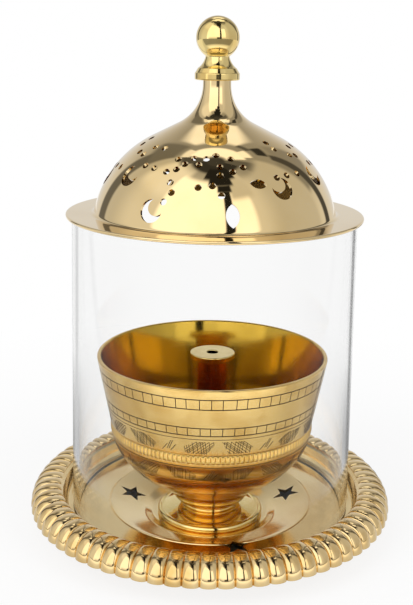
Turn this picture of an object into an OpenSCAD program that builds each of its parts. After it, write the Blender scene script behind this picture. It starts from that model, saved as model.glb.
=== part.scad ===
// Akhand diya: a brass oil lamp whose flame burns without a break behind a glass chimney.
// A gadrooned tray carries the glass tube and the oil bowl, and a pierced dome closes the top.
// Millimetres, +Z up, origin on the table under the middle of the tray.

/* [Glass chimney] */
// Outside diameter of the glass tube
chimney_d = 120; // [114:1:140]
// Wall of the glass tube
chimney_wall = 2.5; // [2:0.1:4]
// Length of the glass tube
chimney_h = 126; // [110:1:180]
// Radius of the fire-polished ends
chimney_edge = 0.7; // [0.3:0.1:0.9]

/* [Tray] */
// Thickness of the spun sheet
sheet = 1.2; // [0.8:0.1:1.6]
// Clear height between the table and the underside of the well
stand_gap = 0.7; // [0.3:0.1:4]
// Drop from the step of the well to the seat of the bowl's foot
seat_drop = 2.6; // [1.5:0.1:4]
// Run of the well's wall, from the seat out to the step
well_run = 4.4; // [3:0.1:6]
// Drop of the dished floor, from the flat floor to the step
dish_drop = 4; // [2:0.5:6]
// Run of the dished floor, from the step out to the flat floor
dish_run = 13.6; // [11:0.1:15]
// Room between the foot's edge and the wall of the well
foot_room = 2; // [0.5:0.1:3]
// Room between the glass and the tray's side
glass_room = 1.5; // [1:0.1:3]
// Run of the tray's sloping side
side_run = 3.7; // [3:0.1:6]
// Rise of the tray's side, from the floor to the lip
side_rise = 7.4; // [5:0.1:10]
// Width of the flat lip that the gadroon rim is soldered to
lip_w = 3.3; // [2:0.1:5]
// Distance of the incised circle from the edge of the dish
circle_out = 1; // [0.6:0.1:3]
// Radius of the incised circle's groove
circle_groove = 0.35; // [0.2:0.05:0.5]

/* [Foot ring under the tray] */
// Distance of the ring from the outer edge of the flat floor
ring_inset = 7.5; // [4:0.5:8]
// Width of the ring
ring_w = 3; // [2:0.5:4]

/* [Star vents] */
// Diameter over the points of a star
star_d = 12.4; // [9:0.2:13]
// Diameter over the inner corners of a star
star_waist = 5.2; // [3:0.1:7]

/* [Gadroon rim] */
// Number of lobes round the rim
lobes = 72; // [48:1:84]
// Width of the rim, from its inner edge to its outer edge
rim_w = 12.8; // [11:0.2:18]
// Height of the lobes above the tray's lip
rim_rise = 1.7; // [1.4:0.1:3]
// Drop of the rim's outer edge below the tray's lip
rim_fall = 7.3; // [4:0.1:8]
// Thickness of the rim between two lobes
rim_skin = 1.4; // [1:0.1:2]
// Depth of the valleys between the lobes
lobe_depth = 1.6; // [0.8:0.1:2]

/* [Oil bowl] */
// Outside diameter of the bowl's rim
bowl_d = 99.4; // [92:0.2:104]
// Height of the bowl above its foot
bowl_h = 67; // [60:0.5:76]
// Wall of the bowl
bowl_wall = 1.8; // [1.4:0.1:2.4]
// Diameter at the beaded band, where wall and belly meet
band_d = 87.6; // [84:0.2:90]
// Height of the beaded band's middle above the foot
band_mid = 36.3; // [34:0.1:40]
// Height of the beaded band from edge to edge
band_h = 4.2; // [2:0.2:5]
// Distance by which the beaded band stands out of the bowl
band_out = 1; // [0.6:0.1:1.4]
// Diameter that the belly is drawn towards, below the band
belly_d = 83; // [80:0.5:86]
// Height that the belly is drawn towards, above the foot
belly_h = 19.5; // [18:0.1:23]
// Diameter of the small cup under the belly
cup_d = 35; // [32:0.5:40]
// Height of the small cup
cup_h = 6.8; // [6:0.1:8]
// Thickness of metal between the cup's edge and the bowl's inner floor
bowl_base = 4.5; // [3:0.1:6]

/* [Bowl foot] */
// Diameter of the foot
foot_d = 46; // [40:0.5:50]
// Height of the foot, from its seat to the bowl's neck
foot_h = 5.8; // [5.4:0.1:8]
// Diameter of the neck
neck_d = 23; // [20:0.5:26]
// Radius of the foot's rounded edge
foot_edge = 1.5; // [1:0.1:1.7]
// Radius of the ring round the neck
neck_ring = 0.75; // [0.5:0.05:0.9]
// Diameter of the screw that joins foot and bowl
screw_d = 5; // [4:0.5:6]
// Length of the screw in the bowl
screw_grip = 8; // [6:0.5:9]
// Depth of the recess for the screw's head
head_recess = 3; // [2.8:0.1:3.4]

/* [Wick holder] */
// Diameter of the wick's bore
wick_d = 5; // [3:0.1:6]
// Diameter of the cap
cap_d = 19.2; // [16:0.2:26]
// Thickness of the cap
cap_t = 2.5; // [1.2:0.1:3]
// Length of the cap's spigot inside the tube
spigot_h = 4; // [2.5:0.5:8]
// Depth of the cap's top below the bowl's rim
cap_below = 0; // [0:0.1:8]
// Outside diameter of the tube
tube_d = 12.6; // [11:0.1:15]
// Wall of the tube
tube_wall = 1.6; // [1:0.1:1.9]
// Thickness of the tube's base
base_t = 1.6; // [1:0.1:3]
// Room between the tube's base and the edge of the bowl's floor
base_room = 3; // [1:0.5:6]
// Diameter of the oil ports near the bottom of the tube
port_d = 3; // [2:0.2:4]

/* [Lid] */
// Overhang of the flange past the glass
flange_over = 2.6; // [1:0.1:5]
// Thickness of the flange
flange_t = 1.4; // [1:0.1:2]
// Depth of the register that centres the lid in the glass
register_h = 0.8; // [0.5:0.1:3]
// Width of the register
register_w = 1.5; // [1:0.1:3]
// Radial clearance between register and glass
register_gap = 0.4; // [0.3:0.05:0.8]
// Thickness of the dome's sheet
dome_sheet = 1.2; // [0.9:0.1:1.5]
// Radius of the dome's convex arc
dome_r = 47.3; // [44:0.1:48]
// Distance of that arc's centre from the axis
dome_off = 5.3; // [3:0.1:5.5]
// Depth of that arc's centre below the top of the flange
dome_sink = 9.6; // [6:0.1:12]
// Radius of the concave arc that leads up to the spire
ogee_r = 18; // [14:0.5:20]
// Diameter of the spire
spire_d = 11.5; // [11:0.1:14]
// Straight height of the spire above the concave arc
spire_h = 2.5; // [1:0.1:8]
// Thickness of the plate that closes the spire
spire_top = 1.6; // [1:0.1:2]
// Diameter of the pierced round holes
hole_d = 2.8; // [2:0.1:3.2]
// Diameter of the pierced crescents
crescent_d = 9.4; // [7:0.2:10]
// Length of the pierced leaves
leaf_l = 9.4; // [7:0.2:10]
// Width of the pierced leaves
leaf_w = 5.4; // [4:0.2:6]

/* [Knob] */
// Diameter of the collar on the spire
collar_d = 18.7; // [15:0.1:22]
// Thickness of the collar
collar_t = 2.6; // [1.5:0.1:4]
// Diameter of the flare that rises from the collar
flare_d = 15; // [13:0.1:17]
// Diameter of the neck under the ball
knob_neck_d = 10; // [8:0.1:12]
// Height of the plain band between the flare and the ball
knob_band = 1.2; // [0.5:0.1:2]
// Diameter of the ball
ball_d = 18; // [15:0.1:24]
// Height of the ball's centre above the spire
ball_h = 17.3; // [16:0.1:22]
// Diameter of the knob's threaded stud
stud_d = 4; // [3:0.5:4]
// Size of the nut across its flats
nut_flats = 7; // [5.5:0.5:7]
// Thickness of the nut
nut_t = 3.2; // [2:0.1:4]
// Thickness of the washer
washer_t = 0.8; // [0.5:0.1:1.2]

/* [Hidden] */
$fn = 96;

// Steps along each curved stretch of an outline
steps = 10;
// Gap between a screw or stud and the thread it sits in
thread_gap = 0.04;
// Gap between a screw or stud and a plain hole
hole_gap = 0.2;
// Length by which a cutting tool runs past the face that it cuts
past = 1;
// Length of the punches that pierce the dome
punch_l = 9;

// Radii, from the glass and the foot outwards
chimney_r = chimney_d / 2;
chimney_in = chimney_r - chimney_wall;
foot_r = foot_d / 2;
seat_r = foot_r + foot_room;
well_r = seat_r + well_run;
dish_r = well_r + dish_run;
floor_r = chimney_r + glass_room;
rim_in = floor_r + side_run;
base_r = rim_in + rim_w;
ring_r = floor_r - ring_inset;
circle_r = dish_r + circle_out;

// Heights, from the table upwards
seat_z = stand_gap + sheet;
step_z = seat_z + seat_drop;
floor_z = step_z + dish_drop;
lip_z = floor_z + side_rise;
joint_z = seat_z + foot_h;
cup_z = joint_z + cup_h;
band_z = joint_z + band_mid;
rim_z = joint_z + bowl_h;
inner_floor_z = cup_z + bowl_base;
glass_top = floor_z + chimney_h;
flange_top = glass_top + flange_t;

// Oil bowl and wick holder
cup_r = cup_d / 2;
inner_floor_r = cup_r + 0.5;
wick_base_r = inner_floor_r - base_room;
cap_top = rim_z - cap_below;
cap_z = cap_top - cap_t;
tube_r = tube_d / 2;
tube_in = tube_r - tube_wall;
head_r = screw_d * 0.9;
head_h = screw_d * 0.48;

// Dome: the convex arc is tangent to the concave arc, which ends upright at the spire
dome_z = flange_top - dome_sink;
spire_r = spire_d / 2;
ogee_x = spire_r + ogee_r;
ogee_z = dome_z + sqrt(pow(dome_r + ogee_r, 2) - pow(ogee_x - dome_off, 2));
foot_angle = asin(dome_sink / dome_r);
top_angle = atan2(ogee_z - dome_z, ogee_x - dome_off);
spire_z = ogee_z + spire_h;

// Star vents: distance outside the step, bearing round the tray and turn of the star
vents = [[6, 14, 180], [6, 170, 270], [6, 92, 90], [16.2, 283.5, 36]];

// Pierced holes of one third of the dome: bearing in degrees from the front of that third,
// and place up the convex arc in per cent
holes = [
    // crown
    [0, 66], [9.5, 62.5], [-6, 62.5], [-14, 62.5], [-24, 60.5], [16, 54], [2.5, 54.5], [-18.5, 56], [-10, 56],
    [9.5, 50],
    // left garland, which leads to the low crescent
    [-22.5, 50.5], [-28, 48], [-23.5, 39], [-21.5, 30.5], [-24.5, 23],
    // middle garland, which leads to the low leaf
    [2.5, 46.5], [-1.5, 37.5], [-8.5, 36], [3, 30],
    // side garlands
    [-37, 50], [-44.5, 51], [34.5, 43.5], [42, 44.5], [51, 45],
    // garlands that climb towards the spire
    [-40, 71], [-50, 71], [-55, 61], [47, 71], [46, 79], [58, 63]
];
// Crescents of one third: bearing, place in per cent and turn in the surface
crescents = [[-30, 15, -50], [-52, 40, -40], [35.5, 34, 35]];
// Leaves of one third: bearing, place in per cent, turn in the surface and share of the full size
leaves = [[8, 14.5, 0, 1], [22.5, 39, 80, 0.75]];
thirds = 3;

// Points on an arc from angle a to angle b
function arc(c, r, a, b, n = steps) =
    [for (i = [0 : n]) c + r * [cos(a + (b - a) * i / n), sin(a + (b - a) * i / n)]];

// Points on a curve that leaves p towards c and reaches q from c
function bend(p, c, q, n = steps) =
    [for (i = [0 : n]) let (t = i / n) pow(1 - t, 2) * p + 2 * t * (1 - t) * c + pow(t, 2) * q];

// Point on a curve with two guides
function bend2(p, c, d, q, t) =
    pow(1 - t, 3) * p + 3 * t * pow(1 - t, 2) * c + 3 * pow(t, 2) * (1 - t) * d + pow(t, 3) * q;

// A line of points moved sideways by t, to its left
function beside(p, t) = [
    for (i = [0 : len(p) - 1])
        let (d = p[min(i + 1, len(p) - 1)] - p[max(i - 1, 0)])
            p[i] + t * [-d[1], d[0]] / norm(d)
];

function reversed(p) = [for (i = [len(p) - 1 : -1 : 0]) p[i]];

// A star with five points
module star(d, waist) {
    polygon([for (i = [0 : 9]) (i % 2 == 0 ? d : waist) / 2 * [cos(36 * i), sin(36 * i)]]);
}

// Tray: one spun sheet, with the seat, the well, the dish, the flat floor, the side and the lip
module base_plate() {
    ease = dish_run * 0.25;
    slope = dish_drop / dish_run;
    bottom = 0.6 * side_run;
    top = concat(
        [[0, seat_z], [seat_r, seat_z], [well_r, step_z]],
        bend([dish_r - ease, floor_z - ease * slope], [dish_r, floor_z], [dish_r + ease * 0.2, floor_z], 4),
        bend([floor_r, floor_z], [floor_r + bottom, floor_z], [rim_in - sheet, lip_z - sheet], 6),
        [[rim_in, lip_z], [rim_in + lip_w, lip_z]]
    );
    under = concat(
        [[rim_in + lip_w, lip_z - sheet], [rim_in + sheet * 0.6, lip_z - sheet]],
        bend([rim_in - sheet * 0.1, lip_z - 2 * sheet], [floor_r + bottom + sheet * 0.6, floor_z - sheet],
             [floor_r + sheet * 0.2, floor_z - sheet], 6),
        [[dish_r, floor_z - sheet], [well_r + sheet * 0.1, step_z - sheet], [seat_r + sheet * 0.3, seat_z - sheet],
         [0, seat_z - sheet]]
    );
    color("goldenrod") difference() {
        rotate_extrude() polygon(concat(top, under));
        for (v = vents)
            rotate([0, 0, v[1]]) translate([well_r + v[0], 0, 0]) rotate([0, 0, v[2]])
                linear_extrude(lip_z) star(star_d, star_waist);
        translate([0, 0, floor_z]) rotate_extrude() translate([circle_r, 0]) circle(circle_groove, $fn = 24);
    }
}

// Gadroon rim: a hollow border whose outer skin swells into lobes, soldered to the tray's lip
module gadroon_rim() {
    per_lobe = 4;
    outer_n = 7;
    under_n = 4;
    turns = lobes * per_lobe;
    crown = lip_z + 0.8 * rim_rise;
    shoulder = lip_z + 0.4 * rim_rise;
    edge = [base_r - lobe_depth, lip_z - rim_fall];
    hem = edge - [rim_skin, 0];
    inner = [rim_in, lip_z + 0.3];
    // Valley line of the outer skin, from the inner edge over the crown to the outer edge
    valley = [
        for (i = [0 : outer_n])
            bend2(inner, [rim_in + 2.3, crown], [edge[0] + 0.5, shoulder], edge, i / outer_n)
    ];
    // Line of the lobes' crests, which rise out of the inner edge
    crest = [
        for (i = [0 : outer_n])
            beside(valley, lobe_depth * min(1, 0.2 + 1.4 * i / outer_n))[i]
    ];
    under = concat(
        bend(hem, [hem[0] - 0.3, lip_z - 1], [rim_in + lip_w, lip_z], under_n),
        [[rim_in, lip_z]]
    );
    ring_n = len(valley) + len(under);
    // Share of the lobe's swell at each step across it
    swell = [for (k = [0 : per_lobe - 1]) sqrt(1 - pow(2 * k / per_lobe - 1, 2))];
    points = [
        for (i = [0 : turns - 1])
            let (a = 360 * (i + 0.5 * per_lobe) / turns, s = swell[i % per_lobe])
                for (p = concat([for (j = [0 : outer_n]) valley[j] + s * (crest[j] - valley[j])], under))
                    [p[0] * cos(a), p[0] * sin(a), p[1]]
    ];
    faces = [
        for (i = [0 : turns - 1], j = [0 : ring_n - 1])
            let (a = i * ring_n, b = (i + 1) % turns * ring_n, k = (j + 1) % ring_n)
                for (f = [[a + j, b + k, b + j], [a + j, a + k, b + k]]) f
    ];
    color("gold") polyhedron(points, faces);
}

// Plain ring that lifts the tray and its vents off the table
module foot_ring() {
    round = ring_w / 3;
    outline = concat(
        [[ring_r, floor_z - sheet], [ring_r - ring_w, floor_z - sheet]],
        arc([ring_r - ring_w + round, round], round, 180, 270, 4),
        arc([ring_r - round, round], round, 270, 360, 4)
    );
    color("darkgoldenrod") rotate_extrude() polygon(outline);
}

// Straight glass tube with fire-polished ends
module glass_chimney() {
    e = chimney_edge;
    outline = concat(
        arc([chimney_r - e, floor_z + e], e, -90, 0, 4),
        arc([chimney_r - e, glass_top - e], e, 0, 90, 4),
        arc([chimney_in + e, glass_top - e], e, 90, 180, 4),
        arc([chimney_in + e, floor_z + e], e, 180, 270, 4)
    );
    color("lightblue", 0.35) rotate_extrude() polygon(outline);
}

// Bowl: neck, small cup, belly, beaded band and tapered wall, with a blind hole for the screw
module oil_bowl() {
    neck_r = neck_d / 2;
    wall_r = band_d / 2;
    lip_r = bowl_d / 2;
    belly = [belly_d / 2, joint_z + belly_h];
    in_r = wall_r - bowl_wall;
    outline = concat(
        [[0, joint_z]],
        bend([neck_r, joint_z], [cup_r - 0.5, joint_z + cup_h * 0.25], [cup_r, cup_z], 6),
        bend([cup_r + 0.4, cup_z + 0.2], belly, [wall_r - 0.4, band_z - band_h / 2], steps),
        [for (p = arc([0, 0], 1, -90, 90, 8)) [wall_r + band_out * p[0], band_z + band_h / 2 * p[1]]],
        [[lip_r, rim_z - 0.4], [lip_r - 0.4, rim_z], [lip_r - bowl_wall + 0.4, rim_z],
         [lip_r - bowl_wall, rim_z - 0.4]],
        bend([in_r, band_z], belly + bowl_wall * [-1.2, 0.8], [inner_floor_r, inner_floor_z], steps),
        [[0, inner_floor_z]]
    );
    color("goldenrod") difference() {
        rotate_extrude() polygon(outline);
        translate([0, 0, joint_z - past]) cylinder(h = screw_grip + 2 * past, d = screw_d + 2 * thread_gap);
    }
}

// Foot: rounded edge, low top that rises to the neck ring, recess for the screw's head
module bowl_foot() {
    neck_r = neck_d / 2;
    edge_r = foot_r - foot_edge;
    outline = concat(
        [[0, seat_z]],
        arc([edge_r, seat_z + foot_edge], foot_edge, -90, 90, 8),
        [[edge_r - 0.5, seat_z + 2 * foot_edge - 0.4]],
        bend([edge_r - 1, seat_z + 2 * foot_edge - 0.4], [neck_r + 4, joint_z - 2.4 * neck_ring],
             [neck_r + 0.3, joint_z - 2 * neck_ring], 6),
        arc([neck_r, joint_z - neck_ring], neck_ring, -90, 90, 6),
        [[0, joint_z]]
    );
    color("gold") difference() {
        rotate_extrude() polygon(outline);
        translate([0, 0, seat_z - past]) cylinder(h = foot_h + 2 * past, d = screw_d + 2 * hole_gap);
        translate([0, 0, seat_z - past]) cylinder(h = head_recess + past, r = head_r + hole_gap);
    }
}

// Slotted screw that holds the foot to the bowl
module foot_screw() {
    head_top = seat_z + head_recess;
    color("khaki") difference() {
        union() {
            translate([0, 0, head_top - head_h]) cylinder(h = head_h, r = head_r);
            translate([0, 0, head_top]) cylinder(h = foot_h - head_recess + screw_grip, d = screw_d);
        }
        translate([0, 0, head_top - head_h])
            cube([3 * head_r, screw_d * 0.2, head_h * 0.9], center = true);
    }
}

// Upright tube of the wick holder, on a flat base, with oil ports near the bottom
module wick_stem() {
    port_z = inner_floor_z + base_t + port_d;
    color("darkgoldenrod") difference() {
        union() {
            translate([0, 0, inner_floor_z]) cylinder(h = base_t, r = wick_base_r);
            translate([0, 0, inner_floor_z]) cylinder(h = cap_z - inner_floor_z, r = tube_r);
        }
        translate([0, 0, inner_floor_z + base_t]) cylinder(h = cap_z - inner_floor_z, r = tube_in);
        for (a = [0, 90])
            translate([0, 0, port_z]) rotate([90, 0, a])
                cylinder(h = 3 * tube_d, d = port_d, center = true, $fn = 32);
    }
}

// Cap of the wick holder: a flat disc with the wick's bore, and a spigot that fits the tube
module wick_cap() {
    ease = 0.4;
    color("gold") difference() {
        union() {
            translate([0, 0, cap_z]) cylinder(h = cap_t - ease, d = cap_d);
            translate([0, 0, cap_top - ease]) cylinder(h = ease, d1 = cap_d, d2 = cap_d - 2 * ease);
            translate([0, 0, cap_z - spigot_h]) cylinder(h = spigot_h, r = tube_in - thread_gap);
        }
        translate([0, 0, cap_z - spigot_h - past])
            cylinder(h = spigot_h + cap_t + 2 * past, d = wick_d);
    }
}

// Places its children on the dome, upright on the surface: bearing from the front, place in per cent
module on_dome(bearing, place) {
    a = foot_angle + (top_angle - foot_angle) * place / 100;
    rotate([0, 0, bearing - 90])
        translate([dome_off + dome_r * cos(a), 0, dome_z + dome_r * sin(a)])
            rotate([0, 90 - a, 0]) children();
}

// A crescent whose thick side points down the dome before it is turned
module crescent(d) {
    difference() {
        circle(d = d, $fn = 48);
        translate([-d * 0.27, 0]) circle(d = d * 0.74, $fn = 48);
    }
}

// A leaf between two arcs, pointed up and down the dome before it is turned
module leaf(l, w) {
    r = (l * l + w * w) / (4 * w);
    intersection() {
        translate([0, r - w / 2]) circle(r, $fn = 64);
        translate([0, w / 2 - r]) circle(r, $fn = 64);
    }
}

// Lid: flange with its register, ogee dome and closed spire, pierced in three equal parts
module lid_dome() {
    s = dome_sheet;
    flange_r = chimney_r + flange_over;
    register_r = chimney_in - register_gap;
    rise = asin((dome_sink + s) / dome_r);
    in_rise = asin((dome_sink - flange_t) / (dome_r - s));
    outline = concat(
        [[flange_r, glass_top], [flange_r, flange_top]],
        [[dome_off + dome_r * cos(foot_angle) + s, flange_top]],
        arc([dome_off, dome_z], dome_r, rise, top_angle, 16),
        arc([ogee_x, ogee_z], ogee_r, 180 + top_angle, 180, steps),
        [[spire_r, spire_z], [0, spire_z], [0, spire_z - spire_top], [spire_r - s, spire_z - spire_top]],
        arc([ogee_x, ogee_z], ogee_r + s, 180, 180 + top_angle, steps),
        arc([dome_off, dome_z], dome_r - s, top_angle, in_rise, 16),
        [[register_r - register_w, glass_top], [register_r - register_w, glass_top - register_h],
         [register_r, glass_top - register_h], [register_r, glass_top]]
    );
    color("gold") difference() {
        rotate_extrude() polygon(outline);
        translate([0, 0, spire_z - spire_top - past])
            cylinder(h = spire_top + 2 * past, d = stud_d + 2 * hole_gap, $fn = 32);
        for (k = [0 : thirds - 1]) rotate([0, 0, 360 / thirds * k]) {
            for (h = holes)
                on_dome(h[0], h[1]) cylinder(h = punch_l, d = hole_d, center = true, $fn = 32);
            for (c = crescents)
                on_dome(c[0], c[1]) rotate([0, 0, c[2]])
                    linear_extrude(punch_l, center = true) crescent(crescent_d);
            for (l = leaves)
                on_dome(l[0], l[1]) rotate([0, 0, l[2]])
                    linear_extrude(punch_l, center = true) leaf(l[3] * leaf_l, l[3] * leaf_w);
        }
    }
}

// Knob: collar, hollowed neck and ball, turned in one piece with its stud
module lid_knob() {
    neck_r = knob_neck_d / 2;
    ball_r = ball_d / 2;
    collar_r = collar_d / 2;
    stud_r = stud_d / 2;
    round = collar_t * 0.15;
    collar_top = spire_z + collar_t;
    ball_z = spire_z + ball_h;
    start = -acos(neck_r / ball_r);
    neck_z = ball_z + ball_r * sin(start);
    stud_z = spire_z - spire_top - washer_t - nut_t - stud_r * 0.5;
    outline = concat(
        [[0, stud_z], [stud_r, stud_z], [stud_r, spire_z], [collar_r - round, spire_z]],
        arc([collar_r - round, spire_z + round], round, -90, 0, 4),
        arc([collar_r - round, collar_top - round], round, 0, 90, 4),
        bend([flare_d / 2, collar_top], [neck_r + 0.4, (collar_top + neck_z) / 2], [neck_r, neck_z - knob_band], 8),
        arc([0, ball_z], ball_r, start, 90, 16)
    );
    color("goldenrod") rotate_extrude() polygon(outline);
}

// Washer under the plate of the spire
module knob_washer() {
    washer_r = min(spire_r - dome_sheet - 2 * hole_gap, nut_flats * 0.57);
    color("khaki") translate([0, 0, spire_z - spire_top - washer_t]) difference() {
        cylinder(h = washer_t, r = washer_r);
        translate([0, 0, -past]) cylinder(h = washer_t + 2 * past, d = stud_d + hole_gap);
    }
}

// Hexagon nut on the knob's stud
module knob_nut() {
    color("khaki") translate([0, 0, spire_z - spire_top - washer_t - nut_t]) difference() {
        cylinder(h = nut_t, d = nut_flats / cos(30), $fn = 6);
        translate([0, 0, -past]) cylinder(h = nut_t + 2 * past, d = stud_d + 2 * thread_gap);
    }
}

base_plate();
gadroon_rim();
foot_ring();
glass_chimney();
oil_bowl();
bowl_foot();
foot_screw();
wick_stem();
wick_cap();
lid_dome();
lid_knob();
knob_washer();
knob_nut();
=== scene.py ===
from math import acos, asin, atan2, cos, degrees, dist, floor, hypot, pi, radians, sin, sqrt, tau

import bmesh
import bpy
from mathutils import Matrix, Vector
from mathutils.bvhtree import BVHTree
from mathutils.interpolate import poly_3d_calc


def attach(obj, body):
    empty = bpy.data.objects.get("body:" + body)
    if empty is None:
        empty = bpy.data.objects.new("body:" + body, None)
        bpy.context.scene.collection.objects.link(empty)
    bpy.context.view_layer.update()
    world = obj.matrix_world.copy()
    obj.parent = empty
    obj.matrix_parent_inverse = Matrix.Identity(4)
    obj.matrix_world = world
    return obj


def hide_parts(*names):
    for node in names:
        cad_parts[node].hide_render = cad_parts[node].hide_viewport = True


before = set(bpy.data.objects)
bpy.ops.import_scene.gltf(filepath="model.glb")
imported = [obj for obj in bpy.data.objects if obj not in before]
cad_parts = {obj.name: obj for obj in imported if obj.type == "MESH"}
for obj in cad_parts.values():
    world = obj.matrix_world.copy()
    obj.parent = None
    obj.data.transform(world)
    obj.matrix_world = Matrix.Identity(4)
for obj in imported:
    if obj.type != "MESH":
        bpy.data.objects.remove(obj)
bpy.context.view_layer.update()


# Foot ring
# A plain ring of drawn brass, soldered under the tray. It lifts the star vents off the table.
# Nobody polishes it, so it is the dullest brass on the lamp.

def linear(code):
    """Linear colour of an sRGB hex value."""
    parts = [int(code[i:i + 2], 16) / 255 for i in (1, 3, 5)]
    return [*[p / 12.92 if p <= 0.04045 else ((p + 0.055) / 1.055) ** 2.4 for p in parts], 1]


def add(material, kind, sockets, **settings):
    """Adds a shader node, and sets each socket to a value or links it to another node's output."""
    made = material.node_tree.nodes.new(kind)
    for name, value in settings.items():
        setattr(made, name, value)
    for key, value in sockets.items():
        if isinstance(value, bpy.types.NodeSocket):
            material.node_tree.links.new(value, made.inputs[key])
        else:
            made.inputs[key].default_value = value
    return made.outputs


def brass(name, bright, tarnished, polish, marks_mm, cloud_mm, lacquer=0.0):
    """Brass worked on a lathe: fine rings from the tool and the buff, and faint clouds of tarnish.

    The rings are coarser than real ones, which would be too fine to show.
    """
    material = bpy.data.materials.new(name)
    material.use_nodes = True
    material.node_tree.nodes.clear()
    place = add(material, "ShaderNodeTexCoord", {})["Object"]
    # Rings lie round the axis, so they are drawn from radius and height alone
    level = add(material, "ShaderNodeVectorMath", {0: place, 1: (1, 1, 0)},
                operation="MULTIPLY")["Vector"]
    radius = add(material, "ShaderNodeVectorMath", {0: level}, operation="LENGTH")["Value"]
    height = add(material, "ShaderNodeSeparateXYZ", {0: place})["Z"]
    section = add(material, "ShaderNodeCombineXYZ", {"X": radius, "Y": height})["Vector"]
    rings = add(material, "ShaderNodeTexNoise",
                {"Vector": section, "Scale": 1000 / marks_mm, "Detail": 3})["Fac"]
    clouds = add(material, "ShaderNodeTexNoise",
                 {"Vector": place, "Scale": 1000 / cloud_mm, "Detail": 4})["Fac"]
    stain = add(material, "ShaderNodeMapRange",
                {"Value": clouds, "From Min": 0.45, "From Max": 0.75})["Result"]
    colour = add(material, "ShaderNodeMix", {"Factor": stain, "A": linear(bright), "B": linear(tarnished)},
                 data_type="RGBA")
    both = add(material, "ShaderNodeMath", {0: rings, 1: clouds}, operation="MULTIPLY")["Value"]
    gloss = add(material, "ShaderNodeMapRange", {"Value": both, "From Min": 0.12, "From Max": 0.42,
                                                 "To Min": polish * 0.7, "To Max": polish * 1.5})["Result"]
    grain = add(material, "ShaderNodeBump",
                {"Height": rings, "Strength": 0.04, "Distance": 0.00004})["Normal"]
    shader = add(material, "ShaderNodeBsdfPrincipled", {
        "Base Color": colour["Result"], "Metallic": 1.0, "Roughness": gloss, "Normal": grain,
        "Coat Weight": lacquer, "Coat Roughness": polish * 0.7})["BSDF"]
    add(material, "ShaderNodeOutputMaterial", {"Surface": shader})
    return material


# Grey-gold, with a blurred shine
dull_brass = brass("drawn brass, unpolished", "#C6A76A", "#9A7A42", 0.26, 0.5, 14)
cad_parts["foot_ring"].data.materials.clear()
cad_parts["foot_ring"].data.materials.append(dull_brass)


# Tray
# One disc of sheet brass, spun over a former into a seat, a stepped well, a flat floor and a
# sloping side, and buffed bright. Four star vents are pierced through it for the flame's air.

def arc(x, z, r, start, end, n=8):
    """Points on an arc in the section of a turned piece, angles in degrees."""
    angles = [radians(start + (end - start) * i / n) for i in range(n + 1)]
    return [(x + r * cos(a), z + r * sin(a)) for a in angles]


def bend(p, c, q, n=8):
    """Points on a curve that leaves p towards c and reaches q from c."""
    return [tuple((1 - t) ** 2 * a + 2 * t * (1 - t) * b + t * t * d for a, b, d in zip(p, c, q))
            for t in (i / n for i in range(n + 1))]


def turned(outline, steps):
    """A bmesh spun round the lamp's axis from the outline of its section, in millimetres."""
    bm = bmesh.new()
    held = []
    for i, (p, q) in enumerate(zip(outline, outline[1:] + outline[:1])):
        held.append(p)
        # A long run beside a short turn gets a point close to it, so that the turn's shading stays there
        run, near, far = dist(p, q), dist(outline[i - 1], p), dist(q, outline[(i + 2) % len(outline)])
        shares = [near / run] if run > 4 * near > 0 else []
        shares += [1 - far / run] if run > 4 * far > 0 else []
        if max(p[0], q[0]) > 0:
            held += [tuple(a + (b - a) * share for a, b in zip(p, q)) for share in shares]
    verts = [bm.verts.new((r / 1000, 0, z / 1000)) for r, z in held]
    edges = [bm.edges.new(pair) for pair in zip(verts, verts[1:] + verts[:1])
             if max(pair[0].co.x, pair[1].co.x) > 0]
    bmesh.ops.spin(bm, geom=verts + edges, cent=(0, 0, 0), axis=(0, 0, 1), dvec=(0, 0, 0),
                   angle=tau, steps=steps, use_merge=True, use_normal_flip=False, use_duplicate=False)
    bmesh.ops.remove_doubles(bm, verts=bm.verts, dist=1e-6)
    bmesh.ops.recalc_face_normals(bm, faces=bm.faces)
    return bm


def piece(name, bm, material, body, slot, *nodes, crease=35):
    """Makes a finished piece of a bmesh, puts it on its body and lets it stand for its CAD nodes."""
    mesh = bpy.data.meshes.new(name)
    bm.to_mesh(mesh)
    bm.free()
    mesh.materials.append(material)
    mesh.shade_smooth()
    mesh.set_sharp_from_angle(angle=radians(crease))
    made = bpy.data.objects.new(name, mesh)
    bpy.context.scene.collection.objects.link(made)
    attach(made, body)
    if nodes:
        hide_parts(*nodes)
    return made


def pierce(made, tools):
    """Cuts the shapes in a bmesh out of a piece, and leaves the polish of its skin as it was."""
    whole = made.data
    block = bpy.data.meshes.new("punches")
    tools.to_mesh(block)
    tools.free()
    punch = bpy.data.objects.new("punches", block)
    bpy.context.scene.collection.objects.link(punch)
    cut = made.modifiers.new("pierce", "BOOLEAN")
    cut.operation, cut.solver, cut.object = "DIFFERENCE", "EXACT", punch
    mesh = bpy.data.meshes.new_from_object(made.evaluated_get(bpy.context.evaluated_depsgraph_get()))
    made.modifiers.remove(cut)
    bpy.data.objects.remove(punch)
    skin = BVHTree.FromPolygons([v.co for v in whole.vertices],
                                [p.vertices for p in whole.polygons])
    normals = []
    for face in mesh.polygons:
        for corner in face.loop_indices:
            at = mesh.vertices[mesh.loops[corner].vertex_index].co.lerp(face.center, 0.02)
            near, slope, index, gap = skin.find_nearest(at)
            # The side of a cut is flat, and the rest keeps the shading of the whole skin
            if slope.dot(face.normal) < 0.7 or gap > 2e-4:
                normals.append(face.normal.copy())
                continue
            old = whole.polygons[index]
            share = poly_3d_calc([whole.vertices[v].co for v in old.vertices], near)
            blend = (whole.corner_normals[c].vector * s for c, s in zip(old.loop_indices, share))
            normals.append(sum(blend, Vector()).normalized())
    mesh.normals_split_custom_set(normals)
    name = whole.name
    made.data = mesh
    bpy.data.meshes.remove(whole)
    mesh.name = name


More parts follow.
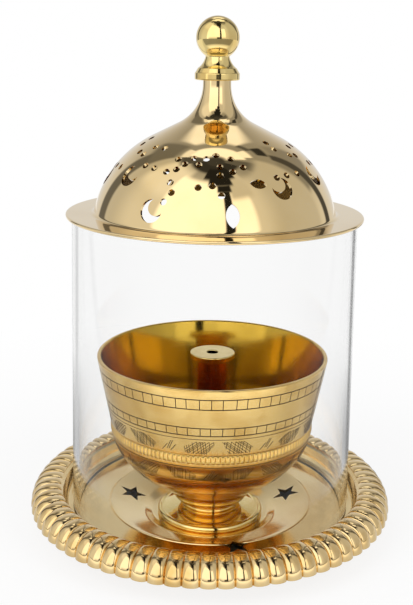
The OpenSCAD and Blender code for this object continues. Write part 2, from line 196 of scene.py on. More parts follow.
# Pale gold, with soft reflections
satin_brass = brass("sheet brass, spun and buffed", "#F2D8A0", "#E2C080", 0.11, 0.35, 30, 0.3)
tray_top = [
    (0, 1.9), (12, 1.9), *bend((24, 1.9), (25, 1.9), (25.6, 2.25), 4),
    *bend((28.6, 4.05), (29.4, 4.5), (30.6, 4.85), 5), *bend((39.6, 7.5), (43, 8.5), (43.62, 8.5), 5),
    (43.66, 8.49), (43.8, 8.25), (44, 8.16), (44.2, 8.25), (44.34, 8.49), (44.4, 8.5), (53, 8.5),
    *bend((61.5, 8.5), (63.7, 8.5), (64, 14.7), 8), *bend((64.4, 15.1), (65.2, 15.9), (66, 15.9), 3),
    (68.5, 15.9),
]
tray_under = [
    (68.5, 14.7), (65.9, 14.7), *bend((65.1, 13.5), (64.4, 7.3), (61.7, 7.3), 8),
    (43, 7.3), (29.5, 3.3), (25.4, 0.7), (0, 0.7),
]
tray = piece("tray", turned(tray_top + tray_under, 192), satin_brass, "base", "brass_sheet", "base_plate")
star_tip, star_waist, well_edge = 6.2, 2.6, 29.4
# Distance out from the well's edge, bearing and turn of each vent
vents = ((6, 14, 180), (6, 170, 270), (6, 92, 90), (16.2, 283.5, 36))
stars = bmesh.new()
for out, bearing, turn in vents:
    star = bmesh.ops.create_circle(stars, cap_ends=True, radius=star_tip / 1000, segments=10)["verts"]
    waist = star_waist / star_tip
    bmesh.ops.scale(stars, verts=star[1::2], vec=(waist, waist, 1))
    bmesh.ops.rotate(stars, verts=star, cent=(0, 0, 0), matrix=Matrix.Rotation(radians(turn - 90), 3, "Z"))
    bmesh.ops.translate(stars, verts=star, vec=((well_edge + out) / 1000, 0, 0.0005))
    bmesh.ops.rotate(stars, verts=star, cent=(0, 0, 0), matrix=Matrix.Rotation(radians(bearing), 3, "Z"))
    sides = bmesh.ops.extrude_face_region(stars, geom=list({f for v in star for f in v.link_faces}))["geom"]
    ends = [v for v in sides if isinstance(v, bmesh.types.BMVert)]
    bmesh.ops.translate(stars, verts=ends, vec=(0, 0, 0.012))
bmesh.ops.recalc_face_normals(stars, faces=stars.faces)
pierce(tray, stars)


# Gadroon rim
# A cast border of radial lobes, soldered to the tray's lip and buffed until each lobe is a mirror.
# The lobes rise out of the inner edge, swell over the crown and end at the outer edge.

def bend2(p, c, d, q, n):
    """Points on a curve with two guides."""
    return [tuple((1 - t) ** 3 * a + 3 * t * (1 - t) ** 2 * b + 3 * t * t * (1 - t) * g + t ** 3 * e
                  for a, b, g, e in zip(p, c, d, q)) for t in (i / n for i in range(n + 1))]


lobes, across, depth = 72, 12, 1.6
skin = bend2((65.2, 16.2), (67.5, 17.26), (76.9, 16.58), (76.4, 8.6), 20)
hem = [*bend((75, 8.6), (74.7, 14.9), (68.5, 15.9), 6), (65.2, 15.9)]
rim = turned(skin + hem, lobes * across)
swell = []
for i, (r, z) in enumerate(skin):
    # A lobe starts low at the inner edge and is at full height from the crown on
    (ra, za), (rb, zb) = skin[max(i - 1, 0)], skin[min(i + 1, len(skin) - 1)]
    rise = depth * min(1, 0.2 + 1.4 * i / (len(skin) - 1)) / hypot(rb - ra, zb - za)
    swell.append((r, z, (za - zb) * rise, (rb - ra) * rise))
for v in rim.verts:
    r, z = hypot(v.co.x, v.co.y) * 1000, v.co.z * 1000
    turn = (atan2(v.co.y, v.co.x) / tau * lobes + 0.5) % lobes
    lobe, share = floor(turn + 1e-6), turn - floor(turn + 1e-6)
    # Columns crowd towards the valleys, where the lobe turns most
    share = (1 - cos(pi * share)) / 2
    out, up = next(((o, u) for rs, zs, o, u in swell if hypot(r - rs, z - zs) < 0.02), (0, 0))
    bulge = sqrt(max(0, 1 - (2 * share - 1) ** 2))
    r, z, a = r + out * bulge, z + up * bulge, (lobe + share - 0.5) / lobes * tau
    v.co = (r * cos(a) / 1000, r * sin(a) / 1000, z / 1000)
# A full mirror, so that every lobe carries its own small picture of the room
cast_brass = brass("cast brass, buffed", "#ECCF96", "#D8B26C", 0.05, 0.6, 9, 0.5)
piece("gadroon_border", rim, cast_brass, "base", "brass_cast", "gadroon_rim", crease=50)


# Bowl foot
# A low turned foot with a rounded edge and a bead round its neck. It stands in the tray's well and
# is drawn up against the bowl by a slotted screw from below.

foot_outline = [
    *arc(21.5, 3.4, 1.5, -90, 90, 10), (21.2, 4.62), (21, 4.5),
    *bend((20.5, 4.5), (15.5, 5.9), (11.8, 6.2), 10),
    *arc(11.5, 6.95, 0.75, -90, 90, 8), (2.7, 7.7), (2.7, 4.9), (4.7, 4.9), (4.7, 1.9),
]
# Bright yellow gold, with hard reflections
turned_brass = brass("turned brass, buffed", "#F2DA94", "#E2C074", 0.06, 0.3, 12, 0.2)
piece("foot", turned(foot_outline, 128), turned_brass, "bowl", "brass_cast", "bowl_foot")
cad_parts["foot_screw"].data.materials.clear()
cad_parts["foot_screw"].data.materials.append(dull_brass)


# Oil bowl
# Cast brass, turned inside and out and buffed. The wall is engraved by hand: two ladder bands, a line,
# and hatched leaves over the bead. Engraved lines hold old polish, so they stay dark.

bars, per_bar, groove = 64, 8, 0.28
ladders = ((66.5, 70.8), (54.8, 58.2))
wall_r, wall_z, taper = 43.8, 46.1, 5.9 / 28.2


def wall(z):
    """Radius of the tapered wall at a height."""
    return wall_r + (z - wall_z) * taper


rows = sorted({46.1, 48.2, 50.5, 52.6, 60.5, 62.5, 64.5, 72.4,
               *[round(line + side, 2) for pair in ladders for line in pair for side in (-0.22, 0, 0.22)],
               *[round(low + (high - low) * t, 2) for low, high in ladders for t in (0.35, 0.65)]})
bowl_outline = [
    (0, 7.7), (6, 7.7), *bend((11.5, 7.7), (17, 9.4), (17.5, 14.5), 12), (17.55, 14.65), (17.75, 14.72),
    *bend((17.9, 14.7), (41.5, 27.2), (43.4, 41.9), 40),
    (43.42, 42), (43.35, 42.5), (43.4, 45.4), (43.77, 46),
    *[(wall(z), z) for z in rows], *bend((49.62, 74.2), (49.7, 74.7), (49.2, 74.7), 3),
    *bend((48.4, 74.7), (47.9, 74.7), (47.88, 74.2), 3), *[(wall(z) - 1.8, z) for z in (70, 64, 58, 52)],
    *bend((42, 44), (39.34, 28.64), (18, 19), 30), (9, 19), (0, 19),
]
bowl = turned(bowl_outline, bars * per_bar)
cut_verts = set()
for v in bowl.verts:
    r, z = hypot(v.co.x, v.co.y) * 1000, v.co.z * 1000
    ladder = [pair for pair in ladders if pair[0] - 0.3 < z < pair[1] + 0.3]
    if not ladder or abs(r - wall(z)) > 0.05:
        continue
    low, high = ladder[0]
    turn = atan2(v.co.y, v.co.x) / tau * bars
    bar = round(turn)
    column = round((turn - bar) * per_bar)
    # The columns beside a bar close up to the width of the cut, and hand work sets it a little off
    sway = 0.07 * sin(bar * 2.4 + low)
    share = (0.5, 0.3, 0.085, 0.035, 0, 0.035, 0.085, 0.3, 0.5)[column + 4]
    share *= 1 if column > 0 else -1
    share += sway * (0.5 - abs(share)) * 2
    if min(abs(z - low), abs(z - high)) < 0.05 or (column == 0 and low < z < high):
        r -= groove
        cut_verts.add(v)
    a = (bar + share) / bars * tau
    v.co.x, v.co.y = r * cos(a) / 1000, r * sin(a) / 1000
for face in bowl.faces:
    # The second finish goes in the cuts, and the third, with its painted reflections, on the inside
    middle = face.calc_center_median()
    hollow = face.normal.dot(Vector((middle.x, middle.y, 0))) < -1e-6 or 0.0185 < middle.z < 0.0195
    face.material_index = 2 if hollow else int(not cut_verts.isdisjoint(face.verts))
# Warm gold, softened by years of cleaning
engraved_brass = brass("cast brass, turned and engraved", "#E8C67E", "#D6AC5E", 0.14, 0.35, 12)
# Old polish dries dull and nearly black in the cuts
old_polish = bpy.data.materials.new("old brass polish in the cuts")
old_polish.use_nodes = True
old_polish.node_tree.nodes.clear()
crumbs = add(old_polish, "ShaderNodeTexCoord", {})["Object"]
crumb_mm = 1.5
crumbs = add(old_polish, "ShaderNodeTexNoise",
             {"Vector": crumbs, "Scale": 1000 / crumb_mm, "Detail": 2})["Fac"]
paste = add(old_polish, "ShaderNodeMix",
            {"Factor": crumbs, "A": linear("#3E2A0C"), "B": linear("#725320")}, data_type="RGBA")
paste = add(old_polish, "ShaderNodeBsdfPrincipled", {"Base Color": paste["Result"], "Roughness": 0.6})["BSDF"]
add(old_polish, "ShaderNodeOutputMaterial", {"Surface": paste})
# The inside is turned, and its colour is a painted reflection: deep gold for the light its brass walls throw
# back and forth
inner_reflection_brass = brass("cast brass, turned inside and oiled", "#CCA844", "#BA9230", 0.12, 0.35, 20)
bowl_shell = piece("bowl", bowl, engraved_brass, "bowl", "brass_cast", "oil_bowl", crease=38)
bowl_shell.data.materials.append(old_polish)
bowl_shell.data.materials.append(inner_reflection_brass)


# Beaded band
# A row of flat beads in the bowl's own brass, rolled in where wall and belly meet.
# It stands hardly proud of the wall.

flutes, bead_z, valley_r = 140, 44, 0.0434
swelling = [(43.55 + 0.3 * cos(radians(a)), bead_z + 1.9 * sin(radians(a))) for a in range(-80, 81, 16)]
beads = turned(swelling + [(42.8, 45.6), (42.8, 42.4)], flutes * 8)
for v in beads.verts:
    r = hypot(v.co.x, v.co.y)
    notch = abs(sin(atan2(v.co.y, v.co.x) * flutes / 2)) ** 0.7
    if r > valley_r + 0.0001:
        cut = (valley_r + (r - valley_r) * notch) / r
        v.co.x, v.co.y = v.co.x * cut, v.co.y * cut
# A deeper gold, because the buff reaches only the tops of the beads
beaded_brass = brass("cast brass, rolled beads", "#DAB468", "#C69C4C", 0.14, 0.35, 8)
piece("bead_band", beads, beaded_brass, "bowl", "brass_cast", crease=70)


# Hatching
# Fine cuts by hand, full of old polish: hatched leaves in pairs over and under the beads, with border
# lines round the bowl and a row of dots below.

hatching = bmesh.new()
mean_r = 45
round_bowl = tau * mean_r


def skin_at(z):
    """Radius of the bowl's outside at a height, and its slope."""
    if z > 42:
        return wall(z), taper
    # The belly's curve, solved for its height
    t = (sqrt(625 + 8.8 * (z - 14.7)) - 25) / 4.4
    return 17.9 + 47.2 * t - 21.7 * t * t, (47.2 - 43.4 * t) / (25 + 4.4 * t)


def engrave(start, end, width, n=5):
    """A straight cut between two points, given as distance round the bowl at its mean radius and height."""
    edges = []
    for i in range(n + 1):
        along, z = (s + (e - s) * i / n for s, e in zip(start, end))
        r, slope = skin_at(z)
        out = Vector((cos(along / mean_r), sin(along / mean_r), 0))
        round_way = Vector((-out.y, out.x, 0)) * (end[0] - start[0]) * r / mean_r
        up_way = Vector((out.x * slope, out.y * slope, 1)) * (end[1] - start[1])
        side = (round_way + up_way).cross(out - Vector((0, 0, slope))).normalized() * width / 2
        middle = out * (r + 0.03) + Vector((0, 0, z))
        edges.append([hatching.verts.new((middle + side * way) / 1000) for way in (1, -1)])
    for (a, b), (c, d) in zip(edges, edges[1:]):
        hatching.faces.new((a, b, d, c))


# A leaf's distance from the middle of its pair, its lean and its length, and the width of a cut
hatch_gap, hatch_lean, hatch_length, hatch_cut = 4.2, 3.2, 12, 0.23


def hatch(middle, way, low, high, pair):
    """A leaf: a leaning net of cuts both ways, ragged at its ends."""
    for cut in range(-3, 11):
        for lean in (0.32, -0.32):
            foot = (cut + 0.3 * sin(cut * 5 + pair * 3 + way)) / 9 - lean / 2
            inside = [q for q in (i / 12 for i in range(13))
                      if 0 <= foot + lean * (q - 0.5) <= 1 - 0.25 * abs(2 * q - 1)]
            if len(inside) > 3:
                ends = []
                for q in (inside[0], inside[-1]):
                    out = hatch_gap - hatch_lean * q + hatch_length * (foot + lean * (q - 0.5))
                    ends.append((middle + way * out, low + (high - low) * q))
                engrave(*ends, hatch_cut)


pairs, front = 7, -86 / 360 * round_bowl
# Lower and upper edge of each row of leaves, and the share of a pair by which it starts later
for low, high, first in ((46.7, 52.2, 0.0), (34.4, 39.8, 0.42)):
    for pair in range(pairs):
        middle = (pair + first) * round_bowl / pairs + front
        for way in (1, -1):
            hatch(middle, way, low, high, pair)
            # Two loose strokes fill the gap to the next pair
            near, far = middle + way * 18.4, middle + way * 20.6
            engrave((near - 1.2, low + 0.4), (near + 1.2, low + (high - low) * 0.6), 0.3)
            engrave((far - 0.4, low + 1.2), (far + 1.4, low + (high - low) * 0.9), 0.3)
for z, width in ((53.2, 0.22), (40.7, 0.34), (32.3, 0.3)):
    engrave((0, z), (round_bowl, z), width, 360)
dots, dot_z, dot_d = 110, 30.3, 0.55
for dot in range(dots):
    along = dot * round_bowl / dots
    engrave((along - dot_d, dot_z), (along + dot_d, dot_z), dot_d, 2)
bmesh.ops.remove_doubles(hatching, verts=hatching.verts, dist=1e-7)
piece("hatching", hatching, old_polish, "bowl", "brass_cast")


# Wick holder
# A brass tube on a flat base stands loose in the bowl. A turned cap with the wick's bore plugs its top,
# and four ports near the bottom let the oil in.

stem_outline = [
    (0, 19), (14.6, 19), (15, 19.4), (15, 20.2), (14.6, 20.6),
    *bend((7.5, 20.6), (6.3, 20.6), (6.3, 21.8), 5),
    (6.3, 72.2), (4.7, 72.2), (4.7, 20.6), (0, 20.6),
]
# The flame turns the tube reddish
red_brass = brass("turned brass, smoked", "#D89E3C", "#B06E22", 0.1, 0.4, 10)
stem = piece("wick_tube", turned(stem_outline, 96), red_brass, "wick_holder", "brass_turned", "wick_stem")
ports, port_r, port_z = bmesh.new(), 0.0015, 0.0236
for turn in (0, pi / 2):
    across_tube = Matrix.Rotation(turn, 4, "Z") @ Matrix.Rotation(pi / 2, 4, "X")
    bmesh.ops.create_cone(ports, cap_ends=True, segments=24, radius1=port_r, radius2=port_r, depth=0.03,
                          matrix=Matrix.Translation((0, 0, port_z)) @ across_tube)
pierce(stem, ports)
cap_outline = [
    (2.5, 68.2), (4.6, 68.2), (4.6, 72.2), *bend((9.3, 72.2), (9.6, 72.2), (9.6, 72.5), 3),
    *bend((9.6, 74.3), (9.6, 74.7), (9.2, 74.7), 3), (6, 74.66),
    *bend((2.8, 74.7), (2.5, 74.7), (2.5, 74.4), 3),
]
piece("wick_plate", turned(cap_outline, 96), turned_brass, "wick_holder", "brass_turned", "wick_cap")


# Glass chimney
# A straight tube of drawn soda-lime glass with fire-polished ends. It stands loose on the tray's floor.
# Clear glass shows mostly at its edges, where the wall is seen end on.

clear_glass = bpy.data.materials.new("clear soda-lime glass, drawn")
clear_glass.use_nodes = True
clear_glass.node_tree.nodes.clear()
spot = add(clear_glass, "ShaderNodeTexCoord", {})["Object"]
# Drawing leaves long soft ripples up the tube, about 12 mm apart
long_way = add(clear_glass, "ShaderNodeMapping", {"Vector": spot, "Scale": (83, 83, 6)})["Vector"]
ripple = add(clear_glass, "ShaderNodeTexNoise", {"Vector": long_way, "Scale": 1.0, "Detail": 1})["Fac"]
wave = add(clear_glass, "ShaderNodeBump", {"Height": ripple, "Strength": 0.05, "Distance": 0.0002})["Normal"]
body = add(clear_glass, "ShaderNodeBsdfPrincipled", {
    "Base Color": linear("#FFFFFF"), "Roughness": 0.0, "IOR": 1.47, "Specular Tint": linear("#343434"),
    "Transmission Weight": 1.0, "Normal": wave})["BSDF"]
# The iron in it takes a little light, which shows where a long way through the wall is seen
tint = add(clear_glass, "ShaderNodeVolumeAbsorption", {"Color": linear("#E1E2E1"), "Density": 40})["Volume"]
add(clear_glass, "ShaderNodeOutputMaterial", {"Surface": body, "Volume": tint})
tube_outline = [
    *arc(59.3, 9.2, 0.7, -90, 0, 4), (60, 40), (60, 100), *arc(59.3, 133.8, 0.7, 0, 90, 4),
    *arc(58.2, 133.8, 0.7, 90, 180, 4), (57.5, 100), (57.5, 40), *arc(58.2, 9.2, 0.7, 180, 270, 4),
]
piece("chimney_tube", turned(tube_outline, 192), clear_glass, "chimney", "clear_glass", "glass_chimney")


# Lid
# Sheet brass, spun into an ogee dome on a flat flange, with a small register that centres it in the glass.
# Garlands of round holes, crescents and leaves are pierced in thirds, for the smoke and hot air.

flange_top, dome_r, dome_off, dome_sink, dome_run, sheet = 135.9, 46, 5.9, 8.9, 12.3, 1.2
dome_z = flange_top - dome_sink
spire_r, ogee_r = 5.85, 18
ogee_x = spire_r + ogee_r
slope = acos((ogee_x - dome_off) / hypot(dome_r + ogee_r, dome_run)) - atan2(dome_run, dome_r + ogee_r)
ogee_z = dome_z + (dome_r + ogee_r) * sin(slope) + dome_run * cos(slope)
spire_z = 191.439
foot_angle = degrees(asin(dome_sink / dome_r))
top_angle = degrees(slope)
outer_start = degrees(asin((dome_sink + sheet) / dome_r))
inner_start = degrees(asin((dome_sink - 1.4) / (dome_r - sheet)))
lid_outline = [
    *bend((61.9, 134.5), (62.6, 134.5), (62.6, 135.2), 3),
    *bend((62.6, 135.3), (62.6, flange_top), (62, flange_top), 3), (58, flange_top),
    *bend((52.6, flange_top), (dome_off + dome_r * cos(radians(foot_angle)), flange_top),
          (dome_off + dome_r * cos(radians(outer_start)), flange_top + sheet), 5),
    *arc(dome_off, dome_z, dome_r, outer_start + 1, top_angle, 40),
    *arc(ogee_x, ogee_z, ogee_r, 180 + top_angle, 180, 24),
    (spire_r, spire_z), (2.2, spire_z), (2.2, spire_z - 1.6), (spire_r - sheet, spire_z - 1.6),
    *arc(ogee_x, ogee_z, ogee_r + sheet, 180, 180 + top_angle, 20),
    *arc(dome_off, dome_z, dome_r - sheet, top_angle, inner_start, 32),
    (55.6, 134.5), (55.6, 133.7), (57.1, 133.7), (57.1, 134.5),
]
# A mirror: all that it shows is the room
bright_brass = brass("sheet brass, spun and polished to a mirror", "#EED39D", "#E6C78A", 0.03, 0.35, 30, 0.4)
lid_shell = turned(lid_outline, 240)
for face in lid_shell.faces:
    # The second material, painted dark for the shade inside the dome, goes on the faces that look inwards
    middle = face.calc_center_median()
    face.material_index = int(face.normal.dot(middle - Vector((0, 0, 0.12))) < 0)
# Nobody buffs the inside, so it is rough, and its colour is painted shade, dark as the hollow of the dome
shaded_inside_brass = brass("sheet brass, painted dark for the shade inside", "#6E5226", "#4C3616", 0.42, 0.8, 18)
lid = piece("lid_shell", lid_shell, bright_brass, "lid", "brass_sheet", "lid_dome")
lid.data.materials.append(shaded_inside_brass)
# Bearing from the front and place up the dome's arc in per cent, for the front third of the dome
holes = (
    (0, 81), (9.5, 76.5), (-6, 76.5), (-14, 76.5), (-24, 74), (16, 66), (2.5, 66.5), (-18.5, 68.5),
    (-10, 68.5), (9.5, 61), (-22.5, 62), (-28, 58.5), (-23.5, 47.5), (-21.5, 37.5), (-24.5, 28),
    (2.5, 57), (-1.5, 46), (-8.5, 44), (3, 36.5), (-37, 61), (-44.5, 62.5), (34.5, 53), (42, 54.5),
    (51, 55), (-40, 87), (-50, 87), (-55, 75), (47, 87), (46, 97.5), (58, 77),
)
# The same with a turn, and for the leaves a size
crescents = ((-30, 18.5, -50), (-52, 49, -40), (35.5, 41.5, 35))
leaves = ((8, 17.5, 0, 1), (22.5, 47.5, 80, 0.75))
hole_r, punch_l = 0.0014, 0.009
punches = bmesh.new()


def on_dome(bearing, place, turn=0):
    """Matrix of a punch that stands upright on the dome."""
    a = radians(foot_angle + (top_angle - foot_angle) * place / 100)
    return (Matrix.Rotation(radians(bearing - 90), 4, "Z")
            @ Matrix.Translation(((dome_off + dome_r * cos(a)) / 1000, 0, (dome_z + dome_r * sin(a)) / 1000))
            @ Matrix.Rotation(pi / 2 - a, 4, "Y") @ Matrix.Rotation(radians(turn), 4, "Z"))


def punch(outline, matrix):
    """Adds a straight punch with that outline, in millimetres, to the set."""
    verts = [punches.verts.new((x / 1000, y / 1000, -punch_l / 2)) for x, y in outline]
    face = punches.faces.new(verts)
    top = bmesh.ops.extrude_face_region(punches, geom=[face])["geom"]
    top = [v for v in top if isinstance(v, bmesh.types.BMVert)]
    bmesh.ops.translate(punches, verts=top, vec=(0, 0, punch_l))
    bmesh.ops.transform(punches, verts=verts + top, matrix=matrix)


big, small, shift = 4.7, 4.7 * 0.74, 4.7 * 0.54
horn = degrees(acos((big ** 2 + shift ** 2 - small ** 2) / (2 * big * shift)))
horn_in = degrees(acos((shift ** 2 + small ** 2 - big ** 2) / (2 * small * shift)))
moon = arc(0, 0, big, horn - 180, 180 - horn, 28) + arc(-shift, 0, small, horn_in, -horn_in, 20)[1:-1]
leaf_l, leaf_w = 9.4, 5.4
leaf_r = (leaf_l ** 2 + leaf_w ** 2) / (4 * leaf_w)
leaf_a = degrees(asin(leaf_l / 2 / leaf_r))
leaf = (arc(0, leaf_w / 2 - leaf_r, leaf_r, 90 - leaf_a, 90 + leaf_a, 12)
        + arc(0, leaf_r - leaf_w / 2, leaf_r, 270 - leaf_a, 270 + leaf_a, 12)[1:-1])
for third in (0, 120, 240):
    for bearing, place in holes:
        bmesh.ops.create_cone(punches, cap_ends=True, segments=28, radius1=hole_r, radius2=hole_r,
                              depth=punch_l, matrix=on_dome(bearing + third, place))
    for bearing, place, turn in crescents:
        punch(moon, on_dome(bearing + third, place, turn))
    for bearing, place, turn, size in leaves:
        punch([(x * size, y * size) for x, y in leaf], on_dome(bearing + third, place, turn))
bmesh.ops.recalc_face_normals(punches, faces=punches.faces)
pierce(lid, punches)


# Knob
# A ball finial with a hollowed neck and a rounded collar, turned in one piece with its stud.
# The stud goes through the spire's plate, and a washer and a nut hold it inside.

ball_r, neck_r, ball_z = 9, 5, spire_z + 17.3
neck_start = -degrees(acos(neck_r / ball_r))
neck_z = ball_z + ball_r * sin(radians(neck_start))
stud_z, collar_z, flare_z = spire_z - 6.6, spire_z + 3.1, spire_z + 4.8
knob_outline = [
    (0, stud_z), (1.6, stud_z), (2, stud_z + 0.4), (2, spire_z),
    *arc(8.88, spire_z + 0.47, 0.47, -90, 0, 5),
    *arc(8.88, collar_z - 0.47, 0.47, 0, 60, 5), (8.15, flare_z - 0.1),
    *bend((8.1, flare_z), (5.93, flare_z + (neck_z - flare_z) * 0.3), (neck_r, neck_z - 0.5), 16),
    (neck_r, neck_z - 0.1), *arc(0, ball_z, ball_r, neck_start + 1, 87, 32), (0, ball_z + ball_r),
]
piece("knob", turned(knob_outline, 128), turned_brass, "lid", "brass_turned", "lid_knob", crease=40)
for node in ("knob_washer", "knob_nut"):
    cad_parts[node].data.materials.clear()
    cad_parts[node].data.materials.append(dull_brass)


# Studio
# A pale floor that keeps the lamp's shadow, a white room, and a tent of light boxes and dark gaps round
# the lamp. Polished brass is only what it mirrors, so the tent is seen by reflections alone.

lamp_middle = Vector((0, 0, 0.15))


def toward(azimuth, elevation, distance):
    """Point in metres in a direction seen from the dome: azimuth from the front to the right."""
    a, e = radians(azimuth), radians(elevation)
    return Vector((sin(a) * cos(e), -cos(a) * cos(e), sin(e))) * distance + lamp_middle


def within(x, low, high, edge):
    """One between two bounds and nought outside, with soft edges."""
    rise, fall = (min(1, max(0, d / edge + 0.5)) for d in (x - low, high - x))
    return rise * rise * (3 - 2 * rise) * fall * fall * (3 - 2 * fall)


def stand(name, bm, strengths):
    """Stands a screen of the tent: it shines on polished metal, and rays that met none pass through it."""
    mesh = bpy.data.meshes.new(name)
    bm.to_mesh(mesh)
    bm.free()
    mesh.attributes.new("shine", "FLOAT", "POINT").data.foreach_set("value", strengths)
    mesh.materials.append(screen)
    made = bpy.data.objects.new(name, mesh)
    bpy.context.scene.collection.objects.link(made)
    made.visible_camera = made.visible_shadow = made.visible_diffuse = False


# White cloth with a lamp behind it: brass sees it shine, and the eye never sees it
screen = bpy.data.materials.new("diffusion screen")
screen.use_nodes = True
screen.node_tree.nodes.clear()
met = add(screen, "ShaderNodeLightPath", {})["Glossy Depth"]
met = add(screen, "ShaderNodeMath", {0: met, 1: 1.0}, operation="MINIMUM")["Value"]
shine = add(screen, "ShaderNodeAttribute", {}, attribute_name="shine")["Fac"]
clear = add(screen, "ShaderNodeBsdfTransparent", {})["BSDF"]
light = add(screen, "ShaderNodeEmission", {"Strength": shine})["Emission"]
mixed = add(screen, "ShaderNodeMixShader", {0: met, 1: clear, 2: light})["Shader"]
add(screen, "ShaderNodeOutputMaterial", {"Surface": mixed})
screen.cycles.emission_sampling = "NONE"

# Left, right, low and high in degrees, the width of the soft edge, and the strength.
# Each row is laid over those before it.
lights = (
    (-126, 116, -30, 64, 8, 0.62),       # white walls
    (-100, 58, -30, 64, 30, 0.84),       # spill of the boxes
    (-106, -50, 38, 71, 14, 1.02),       # more of it, higher up on the left
    (-60, 42, -30, 64, 6, 1.55),         # boxes
    (20, 50, 45, 76, 8, 0.72),           # right box, turned away at the top
    (-108, 106, 74, 100, 4, 0.04),       # dark ceiling
    (80, 106, 66, 100, 8, 0.14),         # and over the right wall
    (-120, -92, 66, 84, 5, 0.1),         # and over the left wall
    (158, 202, 47, 61, 6, 1.25),         # bright wall high behind
    (-202, -158, 47, 61, 6, 1.25),       # the same wall, past the seam
    (-152, -120, 40, 62, 6, 0.2),        # dark corner on the left
    (114, 232, 69.5, 82, 3, 1.42),       # skylight behind
    (-246, -126, 69.5, 82, 3, 1.42),     # the same skylight, past the seam
    (122, 144, 64, 71, 3, 1.3),          # it comes down on the right
    (-146, -120, 65, 71, 3, 1.1),        # and on the left
    (-200, 200, 84, 100, 2, 0.06),       # dark zenith
    (-137, -123, -30, 42, 4, 0.16),      # left post
    (118, 149, 20, 48, 6, 0.3),          # dim corner on the right
    (125, 134, -30, 50, 3, 0.08),        # right post
    (130, 146, 51, 59, 3, 0.04),         # its bent top
    (142, 158, 59, 63, 3, 0.12),         # and the end of it
    (-50, 45, -30, 2, 14, 0.7),          # table edge in front
    (10.5, 19.5, -30, 54, 1.6, 0.02),    # gap between the boxes
    (3, 23, 53, 61, 3, 0.02),            # the gap, wider
    (-12, 29, 60, 70, 4, 0.02),          # wider still
    (-24, 40, 67, 80, 4, 0.02),          # and opening into the ceiling
    (-5, 11, -8, 4, 4, 0.1),             # camera
)
tent_r, tent_low, tent_high = 1.9, -12, 90
tent = bmesh.new()
bmesh.ops.create_grid(tent, x_segments=400, y_segments=130, size=1)
strengths = []
for v in tent.verts:
    azimuth = 180 * v.co.x
    elevation = (tent_low + tent_high) / 2 + (tent_high - tent_low) / 2 * v.co.y
    v.co = toward(azimuth, elevation, tent_r)
    glow = 0.36 + 0.4 * within(elevation, -30, 30, 50)
    for left, right, low, high, edge, strength in lights:
        glow += (strength - glow) * within(azimuth, left, right, edge) * within(elevation, low, high, edge)
    strengths.append(glow)
stand("tent", tent, strengths)
# Dark strips on the floor behind draw the edges of the glass
glass_edge, strip_start, strip_end = 58.5, 45, 900
strips = (("strip_right", 1, 24, 33, 0.2), ("strip_left", -1, 31, 39, 0.65))
for name, side, near, far, strength in strips:
    strip = bmesh.new()
    corners = [(side * (glass_edge + d * sin(radians(a))) / 1000, d * cos(radians(a)) / 1000, 0.0006)
               for d, a in ((strip_start, near), (strip_start, far), (strip_end, far), (strip_end, near))]
    strip.faces.new([strip.verts.new(corner) for corner in corners])
    stand(name, strip, [strength] * 4)

# Matt white paper, which is plain white to the eye, and grey to the metal beside it with a painted shadow and
# a painted pool of light
ground = bpy.data.materials.new("white sweep")
ground.use_nodes = True
ground.node_tree.nodes.clear()
rays = add(ground, "ShaderNodeLightPath", {})
seen = add(ground, "ShaderNodeMath", {0: rays["Is Camera Ray"], 1: rays["Is Transmission Ray"]},
           operation="MAXIMUM")["Value"]
seen = add(ground, "ShaderNodeMath", {0: seen, 1: rays["Is Glossy Ray"]}, operation="MAXIMUM")["Value"]
spot = add(ground, "ShaderNodeTexCoord", {})["Object"]
away = add(ground, "ShaderNodeVectorMath", {0: spot}, operation="LENGTH")["Value"]
# White all over, but for the shadow round the lamp and the dark under its foot ring
open_floor = add(ground, "ShaderNodeMapRange", {"Value": away, "From Min": 0.085, "From Max": 0.3,
                                                "To Min": 0.84, "To Max": 1.0})["Result"]
under = add(ground, "ShaderNodeMapRange", {"Value": away, "From Min": 0.054, "From Max": 0.056})["Result"]
share = add(ground, "ShaderNodeMath", {0: open_floor, 1: under}, operation="MULTIPLY")["Value"]
share = add(ground, "ShaderNodeMath", {0: share, 1: seen}, operation="MULTIPLY")["Value"]
# The paper's clouds of fibre are about 3 mm across
fibre_mm = 3
fibres = add(ground, "ShaderNodeTexNoise",
             {"Vector": spot, "Scale": 1000 / fibre_mm, "Detail": 3})["Fac"]
tone = add(ground, "ShaderNodeMix",
           {"Factor": fibres, "A": linear("#F0F0F0"), "B": linear("#F8F8F8")}, data_type="RGBA")
paper = add(ground, "ShaderNodeBsdfDiffuse", {"Color": tone["Result"]})["BSDF"]
met = add(ground, "ShaderNodeMath", {0: rays["Glossy Depth"], 1: 1.0}, operation="MINIMUM")["Value"]
# In metal the floor shows painted light: a painted shadow beside the lamp, a painted pool of light brightest
# in front of it, and plain white behind it
reach = add(ground, "ShaderNodeMath", {0: away, 1: 2.0}, operation="MULTIPLY")["Value"]
ahead = add(ground, "ShaderNodeValToRGB", {"Fac": reach})["Color"]
greys = ahead.node.color_ramp.elements
for place, grey in ((0.18, 0.4), (0.28, 0.78), (0.44, 0.62), (0.7, 0.16)):
    greys.new(place).color = (grey, grey, grey, 1)
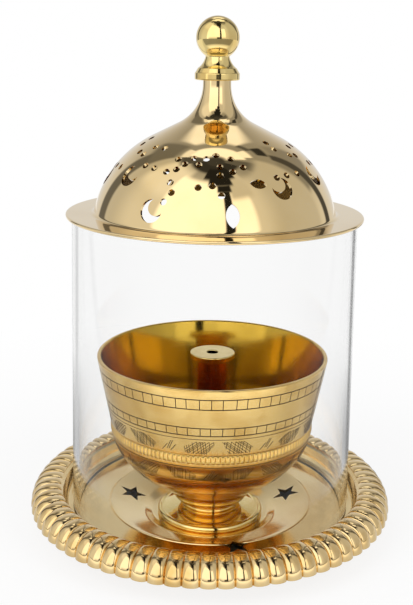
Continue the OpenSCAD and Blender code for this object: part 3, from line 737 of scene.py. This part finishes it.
# A new ramp has black and white ends, which go
greys.remove(greys[0])
greys.remove(greys[-1])
ahead = add(ground, "ShaderNodeMath", {0: ahead, 1: 2.0}, operation="MULTIPLY")["Value"]
depth_way = add(ground, "ShaderNodeSeparateXYZ", {0: spot})["Y"]
in_front = add(ground, "ShaderNodeMapRange",
               {"Value": depth_way, "From Min": -0.04, "From Max": -0.11})["Result"]
at_back = add(ground, "ShaderNodeMapRange",
              {"Value": depth_way, "From Min": 0.01, "From Max": 0.07})["Result"]
behind = add(ground, "ShaderNodeMapRange", {"Value": away, "From Min": 0.1, "From Max": 0.26,
                                            "To Min": 0.35, "To Max": 0.95})["Result"]
painted_floor_light = add(ground, "ShaderNodeMix", {"Factor": in_front, "A": 0.72, "B": ahead})["Result"]
painted_floor_light = add(ground, "ShaderNodeMix", {"Factor": at_back, "A": painted_floor_light, "B": behind})["Result"]
bright = add(ground, "ShaderNodeMix", {"Factor": met, "A": 1.0, "B": painted_floor_light})["Result"]
white = add(ground, "ShaderNodeEmission", {"Strength": bright})["Emission"]
mixed = add(ground, "ShaderNodeMixShader", {0: share, 1: paper, 2: white})["Shader"]
add(ground, "ShaderNodeOutputMaterial", {"Surface": mixed})
ground.cycles.emission_sampling = "NONE"
sweep = bmesh.new()
bmesh.ops.create_grid(sweep, x_segments=1, y_segments=1, size=6)
mesh = bpy.data.meshes.new("floor")
sweep.to_mesh(mesh)
sweep.free()
mesh.materials.append(ground)
level = bpy.data.objects.new("floor", mesh)
bpy.context.scene.collection.objects.link(level)

room = bpy.data.worlds.new("white room")
bpy.context.scene.world = room
room.use_nodes = True
room.node_tree.nodes.clear()
room.cycles.sampling_method = "NONE"
rays = add(room, "ShaderNodeLightPath", {})
seen = add(room, "ShaderNodeMath", {0: rays["Is Camera Ray"], 1: rays["Is Transmission Ray"]},
           operation="MAXIMUM")["Value"]
met = add(room, "ShaderNodeMath", {0: rays["Glossy Depth"], 1: 1.0}, operation="MINIMUM")["Value"]
plain = add(room, "ShaderNodeMapRange", {"Value": seen, "To Min": 0.6, "To Max": 1.0})["Result"]
# Behind the tent, metal sees the grey back of the room
power = add(room, "ShaderNodeMix", {"Factor": met, "A": plain, "B": 0.6})["Result"]
sky = add(room, "ShaderNodeBackground", {"Color": (1, 1, 1, 1), "Strength": power})["Background"]
add(room, "ShaderNodeOutputWorld", {"Surface": sky})

lamp_distance = 1.6
lamps = (("lamp_left", -50, 38, 1.2, 12), ("lamp_right", 58, 36, 0.9, 7))
for name, azimuth, elevation, size, watts in lamps:
    lamp = bpy.data.lights.new(name, "AREA")
    lamp.shape, lamp.size, lamp.energy = "DISK", size, watts
    box = bpy.data.objects.new(name, lamp)
    bpy.context.scene.collection.objects.link(box)
    box.location = toward(azimuth, elevation, lamp_distance)
    box.rotation_euler = (lamp_middle - box.location).to_track_quat("-Z", "Y").to_euler()
    box.visible_camera = box.visible_transmission = box.visible_glossy = False

# The camera, in pixels of the picture: width, height, focal length and optical middle
picture_w, picture_h, focal, middle_x, middle_y = 413, 605, 1013.1, 215.1, 200
film, look_down, roll = 24, 9.28, 1.0
view = bpy.data.cameras.new("camera")
view.sensor_fit, view.sensor_height = "VERTICAL", film
view.lens = focal / picture_h * film
view.shift_x = -(middle_x - picture_w / 2) / picture_h
view.shift_y = (middle_y - picture_h / 2) / picture_h
view.clip_start = 0.01
eye = bpy.data.objects.new("camera", view)
bpy.context.scene.collection.objects.link(eye)
eye.matrix_world = (Matrix.Translation((0, -0.4224, 0.21))
                    @ Matrix.Rotation(radians(90 - look_down), 4, "X")
                    @ Matrix.Rotation(radians(roll), 4, "Z"))
bpy.context.scene.camera = eye
bpy.context.scene.view_settings.view_transform = "Standard"
# Brass inside brass inside glass: light turns many corners before it comes out
paths = bpy.context.scene.cycles
paths.max_bounces, paths.glossy_bounces, paths.transmission_bounces = 24, 10, 16
